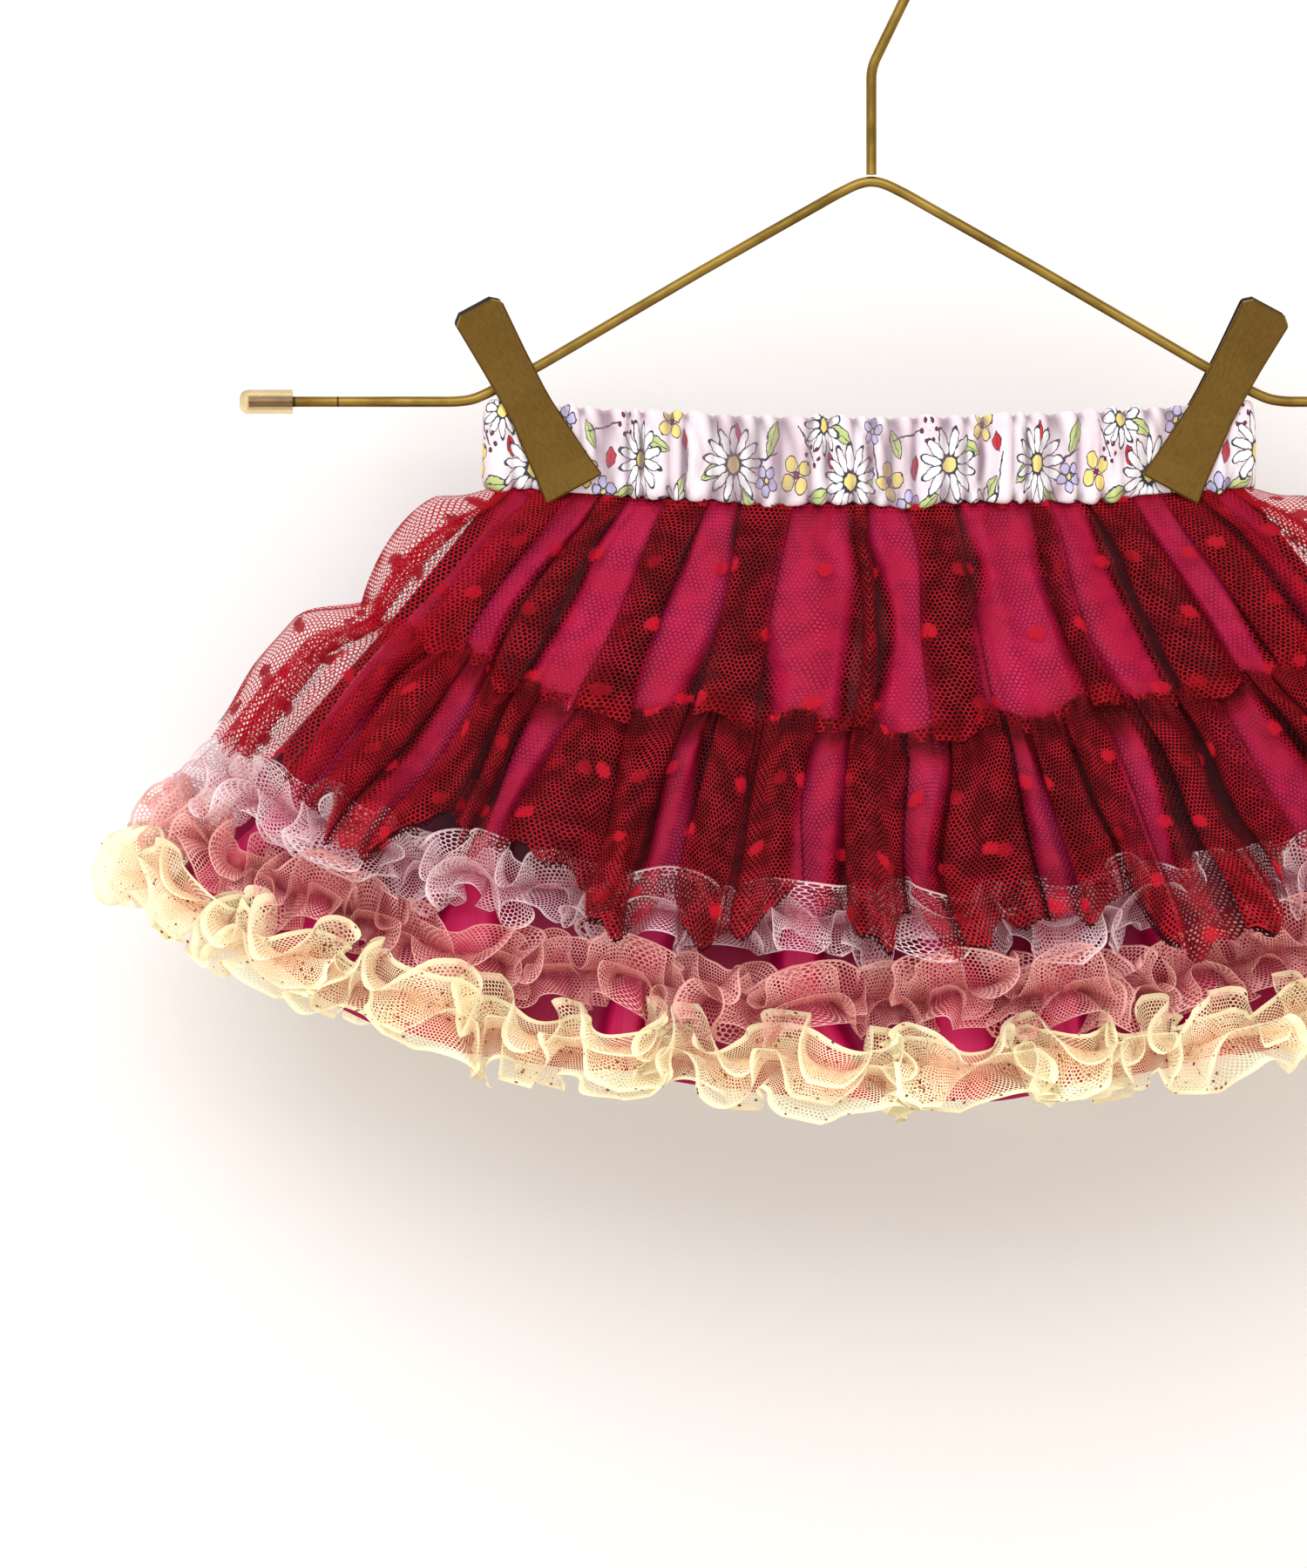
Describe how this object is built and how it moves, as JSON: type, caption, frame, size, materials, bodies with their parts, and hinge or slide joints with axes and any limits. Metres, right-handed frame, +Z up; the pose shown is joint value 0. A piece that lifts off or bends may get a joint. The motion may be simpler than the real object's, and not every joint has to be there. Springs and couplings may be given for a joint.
{
  "type": "tutu on a clip hanger",
  "caption": "Child's tiered tulle tutu with a gathered floral waistband and ruffled hem, clipped by its waist to a brass wire hanger.",
  "frame": {"origin": "inside top of the hook, where a rod carries the hanger", "axes": "+X to the right seen from the front, front faces -Y, +Z up"},
  "size_m": [0.4292, 0.1288, 0.3623],
  "materials": {
    "printed_cotton": "matte cotton, small flower print",
    "magenta_lining": "soft sheen",
    "red_net": "dotted net",
    "pink_net": "net",
    "rose_net": "net",
    "cream_net": "net with fine glitter",
    "antique_brass": "brushed antique",
    "spring_steel": "satin",
    "clear_sleeve": "translucent"
  },
  "bodies": {
    "root": {"waistband": "printed_cotton", "lining": "magenta_lining", "tulle_upper_tier": "red_net", "tulle_lower_tier": "red_net", "ruffle_pink": "pink_net", "ruffle_rose": "rose_net", "ruffle_cream": "cream_net", "hanger_hook": "antique_brass", "hanger_arms": "antique_brass", "end_sleeve_left": "clear_sleeve", "end_sleeve_right": "clear_sleeve", "clip_left_front_jaw": "antique_brass", "clip_left_back_jaw": "antique_brass", "clip_left_spring": "spring_steel", "clip_right_front_jaw": "antique_brass", "clip_right_back_jaw": "antique_brass", "clip_right_spring": "spring_steel"}
  },
  "joints": []
}
